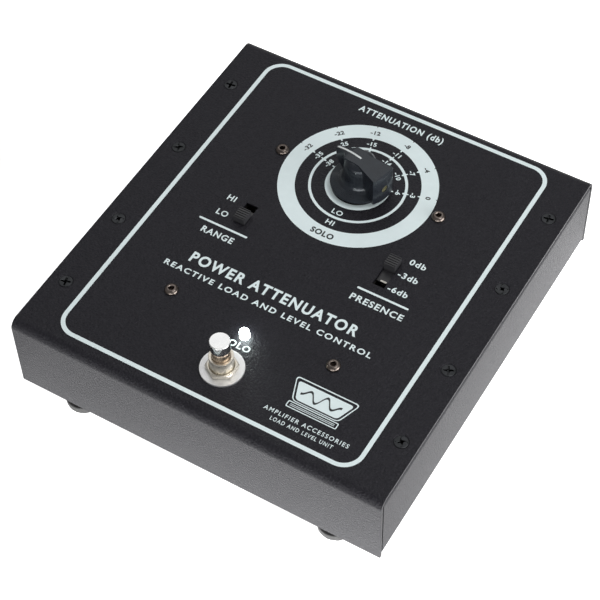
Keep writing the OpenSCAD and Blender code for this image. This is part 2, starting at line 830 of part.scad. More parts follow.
module on_floor(at, lift) {
    on_case(at, floor_plate_z + contact_gap + lift) children();
}

module load_coil_bobbin() color(relay_grey) on_floor(coil_at, 0) difference() {
    union() {
        cylinder(r = coil_r, h = coil_flange_t);
        cylinder(r = coil_core_r, h = coil_h);
        translate([0, 0, coil_h - coil_flange_t]) cylinder(r = coil_r, h = coil_flange_t);
    }
    translate([0, 0, -1]) cylinder(r = coil_bolt_r + 0.2, h = coil_h + 2, $fn = 24);
}

module load_coil_winding() color(copper)
    on_floor(coil_at, coil_flange_t + contact_gap)
        ring(coil_r - 1.5, coil_core_r + 0.1, coil_h - 2 * coil_flange_t - 2 * contact_gap);

module load_coil_bolt() color(zinc) on_floor(coil_at, 0) {
    translate([0, 0, 0.2]) cylinder(r = coil_bolt_r, h = coil_h, $fn = 24);
    translate([0, 0, coil_h + contact_gap]) hex_prism(coil_bolt_head[0], coil_bolt_head[1]);
}

module transformer_core() color(core_grey) on_floor(core_at, core_lift) difference() {
    box_on(core_size);
    for (side = [-1, 1])
        translate([side * (core_limb + core_window[0]) / 2, 0, -1])
            box_on([core_window[0], core_window[1], core_size[2] + 2]);
}

module transformer_winding() color(cap_red)
    on_floor(core_at, core_lift + core_size[2] / 2 - winding_size[2] / 2) difference() {
        plan_rounded_box(winding_size, 2);
        translate([0, 0, winding_size[2] / 2 - core_size[2] / 2 - 0.1])
            box_on([core_limb + 0.2, winding_size[1] + 2, core_size[2] + 0.2]);
    }

module transformer_brackets() color(zinc)
    for (side = [-1, 1]) on_floor(core_at, 0) difference() {
        union() {
            translate([side * (core_size[0] / 2 + bracket_t / 2 + contact_gap), 0, 0])
                box_on([bracket_t, bracket_w, core_lift + core_size[2]]);
            translate([side * (core_size[0] + bracket_foot) / 2, 0, 0])
                box_on([bracket_foot, bracket_w, bracket_t]);
        }
        translate([side * (core_size[0] / 2 + bracket_screw_x), 0, -1])
            cylinder(r = bracket_screw_r + thread_gap, h = bracket_t + 2, $fn = 24);
    }

module transformer_screws() color(zinc)
    for (side = [-1, 1])
        on_floor([core_at[0] + side * (core_size[0] / 2 + bracket_screw_x), core_at[1]], 0) {
            translate([0, 0, 0.1]) cylinder(r = bracket_screw_r, h = bracket_t + 1, $fn = 24);
            translate([0, 0, bracket_t + contact_gap])
                cylinder(r = bracket_screw_head[0], h = bracket_screw_head[1], $fn = 32);
        }

// Holes of one power resistor's foot, from its middle
resistor_holes = [for (side = [-1, 1]) [side * resistor_hole[0], side * resistor_hole[1]]];

module heat_spreader() color(zinc) on_floor(spreader_at, 0) difference() {
    box_on(spreader_size);
    for (row = resistor_rows, hole = resistor_holes)
        translate([hole[0], row + hole[1], -1])
            cylinder(r = resistor_hole_r, h = spreader_size[2] + 2, $fn = 24);
}

module power_resistor() {
    difference() {
        union() {
            box_on([resistor_size[0], resistor_size[1] + 1, resistor_foot_t]);
            translate([0, 0, resistor_foot_t - eps]) plan_rounded_box(resistor_size, 3);
            for (side = [-1, 1]) translate([side * resistor_hole[0], side * resistor_lug_y, 0])
                box_on([resistor_lug[0], resistor_lug[1], resistor_foot_t]);
            for (side = [-1, 1])
                translate([side * (resistor_size[0] + resistor_pin_l - 1) / 2, 0, 9])
                    rotate([0, 90, 0])
                        cylinder(r = resistor_pin_r, h = resistor_pin_l, center = true, $fn = 24);
        }
        for (hole = resistor_holes) translate([hole[0], hole[1], -1])
            cylinder(r = resistor_hole_r, h = resistor_foot_t + 2, $fn = 24);
    }
}

module power_resistors() color(brass) for (row = resistor_rows)
    on_floor([spreader_at[0], spreader_at[1] + row], spreader_size[2] + contact_gap)
        power_resistor();

module resistor_screws() color(zinc) for (row = resistor_rows, hole = resistor_holes)
    on_floor([spreader_at[0] + hole[0], spreader_at[1] + row + hole[1]], 0) {
        translate([0, 0, 0.2]) cylinder(r = resistor_screw_r, h = 6, $fn = 24);
        translate([0, 0, spreader_size[2] + resistor_foot_t + 2 * contact_gap])
            cylinder(r = resistor_screw_head[0], h = resistor_screw_head[1], $fn = 32);
    }

// ---- Parts on the control board ----

// Hangs children below the board: their z = 0 is h below its underside
module under_board(at, h) {
    on_case(at, board_low_z - contact_gap - h) children();
}

relay_y = [14, 26, 38];
relay_size = [20, 10, 10.5];
film_cap_at = [34, [-22, -36]];      // sideways place, fore and aft places
film_cap_size = [26, 9, 17];
can_at = [10, [-16, -30, -44]];      // sideways place, fore and aft places
can_size = [5, 14];                  // radius, height
small_resistor = [1.5, 9];           // radius, length
header_x = [-35, -16, 16];
header_y = 47;
header_size = [9, 5, 7];

module relays() color(relay_grey)
    for (y = relay_y) under_board([0, y], relay_size[2]) plan_rounded_box(relay_size, 0.8);

module film_capacitors() color(cap_red) for (y = film_cap_at[1])
    under_board([film_cap_at[0], y], film_cap_size[2]) plan_rounded_box(film_cap_size, 1);

module electrolytic_capacitors() color(bakelite) for (y = can_at[1])
    under_board([can_at[0], y], can_size[1]) cylinder(r = can_size[0], h = can_size[1]);

// Two rows of four small resistors lying on top of the board
module board_resistors() color(brass) for (column = [0:3], row = [0, 1])
    on_case([-20 + 6 * column, -20 - 16 * row], board_top_z + small_resistor[0] + 0.1)
        rotate([90, 0, 0])
            cylinder(r = small_resistor[0], h = small_resistor[1], center = true, $fn = 24);

module wire_headers() color(relay_grey)
    for (x = header_x) under_board([x, header_y], header_size[2]) box_on(header_size);

// Wire from the back of a socket to its header, on a smooth S curve
wire_steps = 14;
wire_r = 0.9;
wire_sides = 8;

function blend(t) = t * t * (3 - 2 * t);

function wire_point(from, to, t) = [
    from[0] + (to[0] - from[0]) * blend(t),
    from[1] + (to[1] - from[1]) * t,
    from[2] + (to[2] - from[2]) * blend(t)
];

function wire_ring(at) = [for (k = [0:wire_sides - 1]) let (a = 360 * k / wire_sides)
    [at[0] + wire_r * cos(a), at[1], at[2] + wire_r * sin(a)]];

module wire_pair(from_x, to_x) {
    for (side = [-1, 1]) {
        from = [
            from_x + side * 3,
            wall_in_y - 2 * contact_gap - jack_body[1],
            rear_axis_z + 3
        ];
        to = [
            to_x + side * 2,
            case_y + header_y + header_size[1] / 2 + contact_gap,
            board_low_z - header_size[2] / 2
        ];
        tube_from_rings([for (i = [0:wire_steps]) wire_ring(wire_point(from, to, i / wire_steps))]);
    }
}

module amp_input_wires() color(cap_red) wire_pair(jack_x[0], header_x[0]);
module speaker_output_wires() color(cap_red) wire_pair(jack_x[1], header_x[1]);
module line_output_wires() color(cap_red) wire_pair(jack_x[2], header_x[2]);

top_cover();
base_chassis();
cover_screws();
clinch_nuts();
rubber_feet();
foot_washers();
foot_screws();
foot_nuts();
control_board();
board_screws();
board_standoffs();
board_lower_screws();
attenuation_knob();
knob_set_screw();
rotary_switch_shaft();
rotary_switch_body();
rotary_switch_washer();
rotary_switch_nut();
range_switch_frame();
range_switch_lever();
presence_switch_frame();
presence_switch_lever();
footswitch_body();
footswitch_lock_nut();
footswitch_washer();
footswitch_nut();
footswitch_button();
footswitch_spring();
solo_lamp();
amp_input_jack();
speaker_output_jack();
line_output_jack();
jack_washers();
jack_nuts();
line_level_pot();
line_level_nut();
line_level_shaft();
line_level_knob();
power_inlet();
power_inlet_nut();
load_coil_bobbin();
load_coil_winding();
load_coil_bolt();
transformer_core();
transformer_winding();
transformer_brackets();
transformer_screws();
heat_spreader();
power_resistors();
resistor_screws();
relays();
film_capacitors();
electrolytic_capacitors();
board_resistors();
wire_headers();
amp_input_wires();
speaker_output_wires();
line_output_wires();
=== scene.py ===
"""Looks of a desktop power attenuator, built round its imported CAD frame.

Lengths in this file are millimetres until they meet Blender, where MM turns them into metres.
Places on the panel are counted from the middle of the case, as in the CAD source.
"""
import json
import math

import bmesh
import bpy
from mathutils import Matrix, Vector


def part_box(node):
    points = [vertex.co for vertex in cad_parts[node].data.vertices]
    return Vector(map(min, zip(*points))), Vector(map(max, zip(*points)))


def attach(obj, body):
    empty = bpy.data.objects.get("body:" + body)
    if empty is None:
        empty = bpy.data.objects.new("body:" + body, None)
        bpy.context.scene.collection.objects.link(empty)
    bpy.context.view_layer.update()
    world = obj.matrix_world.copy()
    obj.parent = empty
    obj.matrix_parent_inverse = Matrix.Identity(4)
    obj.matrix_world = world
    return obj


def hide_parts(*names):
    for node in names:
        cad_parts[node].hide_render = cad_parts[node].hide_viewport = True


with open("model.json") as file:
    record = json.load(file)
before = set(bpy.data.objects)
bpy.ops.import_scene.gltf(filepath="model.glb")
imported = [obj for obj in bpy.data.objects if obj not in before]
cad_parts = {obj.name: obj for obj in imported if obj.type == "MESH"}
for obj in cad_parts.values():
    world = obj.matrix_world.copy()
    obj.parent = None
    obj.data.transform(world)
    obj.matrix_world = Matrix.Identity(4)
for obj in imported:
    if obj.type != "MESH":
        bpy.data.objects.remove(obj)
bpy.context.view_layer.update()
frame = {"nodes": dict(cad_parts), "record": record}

MM = 0.001
WELD = 2e-6             # points of a CAD mesh closer than this, in metres, are one point
SHARP = 30              # edges bent by more degrees than this shade as edges
CASE_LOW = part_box("base_chassis")[0]
COVER_LOW, COVER_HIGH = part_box("top_cover")
MIDDLE = (COVER_LOW + COVER_HIGH) / 2
PANEL = COVER_HIGH.z
REAR = COVER_HIGH.y
NOISE_LOW, NOISE_HIGH = 0.3, 0.7        # where nearly all values of a noise lie


# ---------------------------------------------------------------- shaders

class Shader:
    """A material made of nodes around one Principled shader."""

    def __init__(self, name, **values):
        self.material = bpy.data.materials.new(name)
        self.material.use_nodes = True
        self.tree = self.material.node_tree
        self.tree.nodes.clear()
        out = self.add("ShaderNodeOutputMaterial")
        self.shader = self.add("ShaderNodeBsdfPrincipled")
        self.join(self.shader.outputs[0], out.inputs["Surface"])
        for key, value in values.items():
            self.shader.inputs[key.replace("_", " ").title().replace("Ior", "IOR")].default_value = value
        self.place = self.add("ShaderNodeTexCoord").outputs["Object"]
        self.normal = None

    def add(self, kind, inputs=None, **settings):
        node = self.tree.nodes.new(kind)
        for key, value in settings.items():
            setattr(node, key, value)
        for key, value in (inputs or {}).items():
            node.inputs[key].default_value = value
        return node

    def join(self, a, b):
        self.tree.links.new(a, b)

    def stretched(self, scale):
        """The place on the object, scaled, for a grain that is longer one way."""
        node = self.add("ShaderNodeMapping", {"Scale": scale})
        self.join(self.place, node.inputs["Vector"])
        return node.outputs[0]

    def noise(self, size, detail=3.0, rough=0.55, stretch=None):
        """Noise whose features are about size mm across."""
        node = self.add("ShaderNodeTexNoise", {
            "Scale": 1 / (size * MM), "Detail": detail, "Roughness": rough})
        self.join(self.stretched(stretch) if stretch else self.place, node.inputs["Vector"])
        return node.outputs["Fac"]

    def cells(self, size):
        """Distance to the nearest of scattered points about size mm apart."""
        node = self.add("ShaderNodeTexVoronoi", {"Scale": 1 / (size * MM)}, feature="F1")
        self.join(self.place, node.inputs["Vector"])
        return node.outputs["Distance"]

    def ramp(self, fac, *stops):
        """stops are (place, colour); a single number makes a grey."""
        node = self.add("ShaderNodeValToRGB")
        points = node.color_ramp.elements
        while len(points) < len(stops):
            points.new(0.5)
        for point, (at, colour) in zip(points, stops):
            point.position = at
            point.color = (colour,) * 3 + (1,) if isinstance(colour, (int, float)) else (*colour, 1)
        self.join(fac, node.inputs["Fac"])
        return node.outputs["Color"]

    def mixed(self, fac, a, b, blend="MIX"):
        """Two colours blended by fac, or in full where fac is None."""
        node = self.add("ShaderNodeMix", data_type="RGBA", blend_type=blend)
        if fac is None:
            node.inputs["Factor"].default_value = 1.0
        else:
            self.join(fac, node.inputs["Factor"])
        self.join(a, node.inputs[6])
        self.join(b, node.inputs[7])
        return node.outputs[2]

    def maths(self, operation, *values):
        node = self.add("ShaderNodeMath", operation=operation)
        for i, value in enumerate(values):
            if isinstance(value, (int, float)):
                node.inputs[i].default_value = value
            else:
                self.join(value, node.inputs[i])
        return node.outputs[0]

    def radius(self, axis_point):
        """Distance from an upright axis through axis_point."""
        away = self.add("ShaderNodeVectorMath", {1: axis_point}, operation="SUBTRACT")
        self.join(self.place, away.inputs[0])
        flat = self.add("ShaderNodeVectorMath", {1: (1, 1, 0)}, operation="MULTIPLY")
        self.join(away.outputs[0], flat.inputs[0])
        length = self.add("ShaderNodeVectorMath", operation="LENGTH")
        self.join(flat.outputs[0], length.inputs[0])
        return length.outputs["Value"]

    def rings(self, radius, size):
        """One-dimensional noise along a radius, for turned metal."""
        node = self.add("ShaderNodeTexNoise", {"Scale": 1 / (size * MM), "Detail": 2.0},
                        noise_dimensions="1D")
        self.join(radius, node.inputs["W"])
        return node.outputs["Fac"]

    def beyond(self, middle, half):
        """Distance in plan outside a rectangle of half sizes half about middle."""
        place = self.place
        for operation, value in (("SUBTRACT", middle), ("ABSOLUTE", None), ("SUBTRACT", half),
                                 ("MAXIMUM", (0, 0, 0)), ("MULTIPLY", (1, 1, 0))):
            node = self.add("ShaderNodeVectorMath", operation=operation)
            self.join(place, node.inputs[0])
            if value is not None:
                node.inputs[1].default_value = value
            place = node.outputs[0]
        length = self.add("ShaderNodeVectorMath", operation="LENGTH")
        self.join(place, length.inputs[0])
        return length.outputs["Value"]

    def axis(self, name):
        node = self.add("ShaderNodeSeparateXYZ")
        self.join(self.place, node.inputs[0])
        return node.outputs[name]

    def colour(self, socket):
        self.join(socket, self.shader.inputs["Base Color"])

    def drive(self, key, fac, low, high):
        """Lets a noise move one shader value between low and high."""
        node = self.add("ShaderNodeMapRange", {
            "From Min": NOISE_LOW, "From Max": NOISE_HIGH, "To Min": low, "To Max": high})
        self.join(fac, node.inputs["Value"])
        self.join(node.outputs[0], self.shader.inputs[key])

    def rough(self, fac, low, high):
        self.drive("Roughness", fac, low, high)

    def bump(self, height, depth, strength=1.0):
        """Adds relief of depth mm and gives the shader back, so that reliefs can follow each other."""
        node = self.add("ShaderNodeBump", {"Strength": strength, "Distance": depth * MM})
        self.join(height, node.inputs["Height"])
        if self.normal:
            self.join(self.normal, node.inputs["Normal"])
        self.normal = node.outputs[0]
        self.join(self.normal, self.shader.inputs["Normal"])
        return self


def powder_coat():
    s = Shader("powder_coat", specular_tint=(0.93, 0.93, 1.0, 1.0))
    grain = s.noise(0.95, 2.0, 0.6)
    cloud = s.noise(38, 3.0)
    base = s.ramp(cloud, (0.3, (0.0066, 0.0060, 0.0088)), (0.7, (0.0080, 0.0074, 0.0104)))
    flecks = s.ramp(grain, (0.40, 0.80), (0.60, 1.0), (0.74, 1.3))
    s.colour(s.mixed(None, base, flecks, "MULTIPLY"))
    s.drive("Specular IOR Level", s.noise(0.9, 2.0, 0.7), 0.24, 0.43)
    s.rough(s.noise(0.9, 3.0), 0.40, 0.50)
    return s.bump(grain, 0.5)


def printed_ink(name, dark, light):
    s = Shader(name)
    s.colour(s.ramp(s.noise(5.0, 4.0), (0.3, dark), (0.7, light)))
    s.rough(s.noise(2.5), 0.42, 0.6)
    return s.bump(s.noise(0.6, 2.0), 0.01, 0.5)


def moulded(name, dark, light, rough=(0.3, 0.42)):
    s = Shader(name)
    s.colour(s.ramp(s.noise(6, 4.0), (0.3, dark), (0.7, light)))
    s.rough(s.noise(1.8, 5.0), *rough)
    return s.bump(s.noise(0.4, 2.0), 0.012, 0.5)


def bakelite():
    s = Shader("bakelite", specular_ior_level=0.38, specular_tint=(0.82, 0.92, 1.0, 1.0), coat_weight=0.3,
               coat_roughness=0.06)
    s.colour(s.ramp(s.noise(5, 4.0), (0.3, (0.006, 0.007, 0.010)), (0.72, (0.011, 0.013, 0.018))))
    s.rough(s.noise(1.2, 6.0, 0.7), 0.24, 0.38)
    scratches = s.noise(0.35, 3.0, 0.6, stretch=(1, 1, 0.08))
    return s.bump(s.noise(2.4, 3.0), 0.03, 0.35).bump(scratches, 0.006, 0.6)


def metal(name, dark, light, rough, grain=0.3, relief=0.004, stretch=None):
    s = Shader(name, metallic=1.0)
    s.colour(s.ramp(s.noise(7, 4.0), (0.3, dark), (0.7, light)))
    s.rough(s.noise(2.2, 5.0, 0.65), *rough)
    return s.bump(s.noise(grain, 3.0, stretch=stretch), relief, 0.6)


def turned_metal(name, dark, light, rough, node, groove=0.16):
    """Metal with fine lathe rings round the upright axis of a CAD node."""
    low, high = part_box(node)
    s = Shader(name, metallic=1.0)
    lines = s.rings(s.radius((low + high) / 2), groove)
    s.colour(s.mixed(None, s.ramp(s.noise(4, 4.0), (0.3, dark), (0.7, light)),
                     s.ramp(lines, (0.3, 0.82), (0.7, 1.0)), "MULTIPLY"))
    s.rough(s.noise(1.6, 5.0, 0.65), *rough)
    return s.bump(lines, 0.006, 0.7)


def rubber():
    s = Shader("rubber")
    # painted light and shade: the feet keep their full colour and shine below 4.6 mm, as if lit from the
    # floor, and are darkened to 0.06 of it by 6.2 mm and above, as if shaded by the case
    painted_shade = s.ramp(s.maths("MULTIPLY", s.axis("Z"), 100.0), (0.46, 1.0), (0.62, 0.06))
    s.colour(s.mixed(None, s.ramp(s.noise(2.4, 5.0), (0.3, 0.045), (0.7, 0.065)), painted_shade, "MULTIPLY"))
    s.join(s.maths("MULTIPLY", painted_shade, 0.5), s.shader.inputs["Specular IOR Level"])
    s.rough(s.noise(1.0, 4.0), 0.62, 0.85)
    return s.bump(s.noise(0.35, 3.0), 0.03, 0.7)


def lamp_lens():
    s = Shader("lamp_lens", roughness=0.12, emission_strength=28.0)
    glow = s.ramp(s.noise(1.4, 3.0), (0.3, (0.84, 1.0, 0.93)), (0.7, (0.95, 1.0, 0.98)))
    s.join(glow, s.shader.inputs["Emission Color"])
    s.colour(glow)
    return s.bump(s.noise(0.8, 2.0), 0.01, 0.4)


def circuit_board():
    s = Shader("circuit_board", coat_weight=0.3, coat_roughness=0.2)
    brick = s.add("ShaderNodeTexBrick", {
        "Scale": 120.0, "Mortar Size": 0.06, "Brick Width": 0.9, "Row Height": 0.35,
        "Color1": (0.010, 0.075, 0.036, 1), "Color2": (0.012, 0.090, 0.044, 1),
        "Mortar": (0.022, 0.135, 0.066, 1)})
    s.join(s.place, brick.inputs["Vector"])
    pads = s.ramp(s.cells(3.4), (0.10, (0.62, 0.60, 0.54)), (0.13, (0.0, 0.0, 0.0)))
    s.colour(s.mixed(None, brick.outputs["Color"], pads, "LIGHTEN"))
    s.rough(s.noise(2.0, 4.0), 0.28, 0.45)
    return s.bump(brick.outputs["Fac"], 0.03, 0.4)


def banded(name, dark, light, pitch, along, metallic, rough, relief=0.12):
    """Stripes pitch mm apart along an axis, for wound wire and stacked sheets."""
    s = Shader(name, metallic=metallic)
    wave = s.maths("SINE", s.maths("MULTIPLY", s.axis(along), 2 * math.pi / (pitch * MM)))
    bands = s.maths("MULTIPLY_ADD", wave, 0.5, 0.5)
    tint = s.ramp(bands, (0.1, dark), (0.75, light))
    s.colour(s.mixed(None, tint, s.ramp(s.noise(2.4, 4.0), (0.3, 0.72), (0.7, 1.0)), "MULTIPLY"))
    s.rough(s.noise(1.5, 4.0), *rough)
    return s.bump(bands, relief, 0.8)


SHADERS = {
    "powder_coat": powder_coat(),
    "black_screw": metal("black_screw", (0.034, 0.036, 0.038), (0.060, 0.062, 0.066), (0.34, 0.48), 0.25),
    "zinc": metal("zinc", (0.50, 0.51, 0.53), (0.66, 0.67, 0.68), (0.26, 0.42), 0.5),
    "rubber": rubber(),
    "circuit_board": circuit_board(),
    "bronze_screw": metal("bronze_screw", (0.10, 0.083, 0.074), (0.20, 0.168, 0.150), (0.24, 0.38)),
    "brass": metal("brass", (0.46, 0.42, 0.24), (0.62, 0.57, 0.35), (0.26, 0.42), 0.2),
    "bakelite": bakelite(),
    "nickel": metal("nickel", (0.60, 0.56, 0.50), (0.72, 0.69, 0.64), (0.14, 0.26), 0.25),
    "switch_steel": metal("switch_steel", (0.040, 0.038, 0.036), (0.085, 0.080, 0.075), (0.34, 0.5)),
    "black_plastic": moulded("black_plastic", (0.020, 0.020, 0.022), (0.034, 0.034, 0.037), (0.32, 0.46)),
    "satin_washer": turned_metal("satin_washer", (0.84, 0.84, 0.84), (0.93, 0.93, 0.93), (0.40, 0.52),
                                 "footswitch_washer"),
    "chrome": metal("chrome", (0.78, 0.78, 0.78), (0.86, 0.86, 0.85), (0.12, 0.20), 0.6, 0.002),
    "lamp_lens": lamp_lens(),
    "white_plastic": moulded("white_plastic", (0.62, 0.60, 0.54), (0.74, 0.72, 0.66), (0.4, 0.55)),
    "copper": banded("copper", (0.16, 0.045, 0.016), (0.62, 0.22, 0.09), 1.1, "Z", 0.85, (0.25, 0.4)),
    "core_steel": banded("core_steel", (0.09, 0.09, 0.10), (0.24, 0.25, 0.27), 0.7, "Z", 0.6, (0.35, 0.5)),
    "aluminium": metal("aluminium", (0.66, 0.67, 0.68), (0.80, 0.81, 0.82), (0.30, 0.45), 0.4, 0.01,
                       (1, 0.04, 1)),
    "resistor_gold": banded("resistor_gold", (0.46, 0.30, 0.09), (0.70, 0.50, 0.19), 2.4, "Z", 1.0,
                            (0.3, 0.42)),
    "red_plastic": moulded("red_plastic", (0.30, 0.030, 0.022), (0.44, 0.055, 0.040), (0.2, 0.34)),
    "board_parts": banded("board_parts", (0.34, 0.10, 0.05), (0.62, 0.50, 0.32), 2.6, "Y", 0.0,
                          (0.3, 0.5), 0.02),
    "red_wire": moulded("red_wire", (0.34, 0.022, 0.016), (0.50, 0.045, 0.032), (0.36, 0.5)),
    "white_ink": printed_ink("white_ink", (0.72, 0.825, 0.835), (0.76, 0.865, 0.875)),
    "dark_ink": printed_ink("dark_ink", (0.008, 0.010, 0.012), (0.016, 0.020, 0.022)),
    "pointer_white": printed_ink("pointer_white", (0.66, 0.70, 0.70), (0.80, 0.84, 0.84)),
    "bushing_nickel": turned_metal("bushing_nickel", (0.72, 0.67, 0.58), (0.84, 0.80, 0.71), (0.24, 0.34),
                                   "footswitch_washer", groove=0.3),
    "plunger_bronze": turned_metal("plunger_bronze", (0.62, 0.48, 0.36), (0.76, 0.62, 0.49), (0.22, 0.34),
                                   "footswitch_washer", groove=0.3),
}
SLOT_OF = {row["node"]: row["material_slot"] for row in frame["record"]["subparts"]}


def paint(obj, name):
    obj.data.materials.clear()
    obj.data.materials.append(SHADERS[name].material)


# ---------------------------------------------------------------- meshes

def new_object(name, mesh):
    obj = bpy.data.objects.new(name, mesh)
    bpy.context.scene.collection.objects.link(obj)
    return obj


def crease(mesh, degrees):
    """Smooth shading, but for the edges bent by more than degrees."""
    for face in mesh.polygons:
        face.use_smooth = True
    mesh.set_sharp_from_angle(angle=math.radians(degrees))


def from_bmesh(name, bm, sharp=SHARP):
    bmesh.ops.recalc_face_normals(bm, faces=bm.faces)
    mesh = bpy.data.meshes.new(name)
    bm.to_mesh(mesh)
    bm.free()
    crease(mesh, sharp)
    return new_object(name, mesh)


def settle(obj, body, slot, material=None, stands_for=()):
    """Gives a finished piece its material, the slot's own unless another is named, sets it in its body and
    hides the nodes it replaces.
    """
    paint(obj, material or slot)
    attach(obj, body)
    if stands_for:
        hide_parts(*stands_for)


def softened(name, node, body, width, segments=2, material=None, angle=26, sharp=32):
    """A CAD node's own shape, its edges of over angle degrees broken by a round width mm wide."""
    bm = bmesh.new()
    bm.from_mesh(frame["nodes"][node].data)
    bmesh.ops.remove_doubles(bm, verts=bm.verts, dist=WELD)
    bmesh.ops.dissolve_limit(bm, angle_limit=math.radians(0.6), verts=bm.verts, edges=bm.edges)
    edges = [e for e in bm.edges
             if len(e.link_faces) == 2 and e.calc_face_angle(0) > math.radians(angle)]
    bmesh.ops.bevel(bm, geom=edges, offset=width * MM, segments=segments, profile=0.6,
                    affect="EDGES", clamp_overlap=True, harden_normals=False)
    bmesh.ops.remove_doubles(bm, verts=bm.verts, dist=1e-6)
    bmesh.ops.triangulate(bm, faces=[f for f in bm.faces if len(f.verts) > 4])
    mesh = bpy.data.meshes.new(name)
    bm.to_mesh(mesh)
    bm.free()
    crease(mesh, sharp)
    obj = new_object(name, mesh)
    weighted = obj.modifiers.new("even_shading", "WEIGHTED_NORMAL")
    weighted.keep_sharp = True
    settle(obj, body, SLOT_OF[node], material, (node,))


def stacked(name, rings, sharp=SHARP):
    """A closed skin through rings of points, each the same length; the ends are capped."""
    bm = bmesh.new()
    loops = [[bm.verts.new(p) for p in ring] for ring in rings]
    count = len(rings[0])
    for a, b in zip(loops, loops[1:]):
        for i in range(count):
            j = (i + 1) % count
            bm.faces.new((a[i], a[j], b[j], b[i]))
    bm.faces.new(list(reversed(loops[0])))
    bm.faces.new(loops[-1])
    return from_bmesh(name, bm, sharp)


def ring_loop(name, rings):
    """A closed skin through rings that come back to the first one, such as a nut with its bore."""
    bm = bmesh.new()
    loops = [[bm.verts.new(p) for p in ring] for ring in rings]
    count = len(rings[0])
    for a, b in zip(loops, loops[1:] + loops[:1]):
        for i in range(count):
            j = (i + 1) % count
            bm.faces.new((a[i], a[j], b[j], b[i]))
    return from_bmesh(name, bm)


def turned(points, at, count=96):
    """Rings of a lathe profile of (radius, height) about an upright axis through at."""
    turns = [2 * math.pi * i / count for i in range(count)]
    return [[at + Vector((radius * math.cos(a) * MM, radius * math.sin(a) * MM, height * MM))
             for a in turns] for radius, height in points]


def fillet(points, radius):
    """The profile with each inner corner rounded; the first and last points stay."""
    steps = 3
    made = [points[0]]
    for before, corner, after in zip(points, points[1:], points[2:]):
        a, b, c = Vector(before), Vector(corner), Vector(after)
        u, v = (a - b), (c - b)
        reach = min(radius, u.length * 0.45, v.length * 0.45)
        p, q = b + u.normalized() * reach, b + v.normalized() * reach
        for i in range(steps + 1):
            t = i / steps
            made.append(tuple((1 - t) ** 2 * p + 2 * t * (1 - t) * b + t * t * q))
    return made + [points[-1]]


# ---------------------------------------------------------------- ink on the panel

INK = 0.04              # height of printed ink above the panel


def outline(bm, points, z):
    """New points of a mesh at height z, for plan points in mm from the case middle."""
    return [bm.verts.new((MIDDLE.x + x * MM, MIDDLE.y + y * MM, z)) for x, y in points]


def flat_band(bm, outer, inner, low, high):
    """Adds a closed flat ring between two outlines of the same length."""
    loops = [outline(bm, outer, low), outline(bm, outer, high),
             outline(bm, inner, high), outline(bm, inner, low)]
    for a, b in zip(loops, loops[1:] + loops[:1]):
        for i in range(len(outer)):
            j = (i + 1) % len(outer)
            bm.faces.new((a[i], a[j], b[j], b[i]))


def flat_plate(bm, points, low, high):
    """Adds a closed flat plate inside one outline."""
    bottom, top = outline(bm, points, low), outline(bm, points, high)
    for i in range(len(points)):
        j = (i + 1) % len(points)
        bm.faces.new((bottom[i], bottom[j], top[j], top[i]))
    bm.faces.new(list(reversed(bottom)))
    bm.faces.new(top)


def rounded_rect(w, h, r, cx=0.0, cy=0.0, steps=12):
    """A rectangle w by h about (cx, cy) with corners of radius r."""
    points = []
    for k, (sx, sy) in enumerate([(1, 1), (-1, 1), (-1, -1), (1, -1)]):
        for i in range(steps + 1):
            a = math.radians(90 * k + 90 * i / steps)
            points.append((cx + sx * (w / 2 - r) + r * math.cos(a),
                           cy + sy * (h / 2 - r) + r * math.sin(a)))
    return points


def capsule(x0, x1, y, thick):
    """A straight bar with round ends."""
    steps, r = 8, thick / 2
    right = [(x1 - r + r * math.cos(a), y + r * math.sin(a))
             for a in (math.radians(-90 + 180 * i / steps) for i in range(steps + 1))]
    left = [(x0 + r + r * math.cos(a), y + r * math.sin(a))
            for a in (math.radians(90 + 180 * i / steps) for i in range(steps + 1))]
    return right + left


def ink_piece(name, build, material="white_ink", lift=0.0):
    """One printing of the panel, raised by lift mm where it lies on other ink."""
    bm = bmesh.new()
    build(bm, PANEL + lift * MM, PANEL + (lift + INK) * MM)
    settle(from_bmesh(name, bm), "case", "powder_coat", material)


def glyphs(text, spacing, weight):
    """The outline mesh of a text at size 1, lying flat, with a little depth."""
    curve = bpy.data.curves.new("glyphs", "FONT")
    curve.body = text
    curve.space_character = spacing
    curve.offset = weight
    curve.extrude = 0.5
    curve.resolution_u = 4
    probe = new_object("glyphs", curve)
    bpy.context.view_layer.update()
    made = bpy.data.meshes.new_from_object(probe.evaluated_get(bpy.context.evaluated_depsgraph_get()))
    bpy.data.objects.remove(probe)
    bpy.data.curves.remove(curve)
    return made


def extent(mesh, axis):
    values = [v.co[axis] for v in mesh.vertices]
    return min(values), max(values)


CAP_FOOT, CAP_TOP = extent(glyphs("H", 1.0, 0.0), 1)
CAP_HEIGHT = CAP_TOP - CAP_FOOT
DIGIT_STRETCH = 1.1     # width of the dial's numbers against the font's own
GLYPH_WELD = 1e-4       # in letter sizes


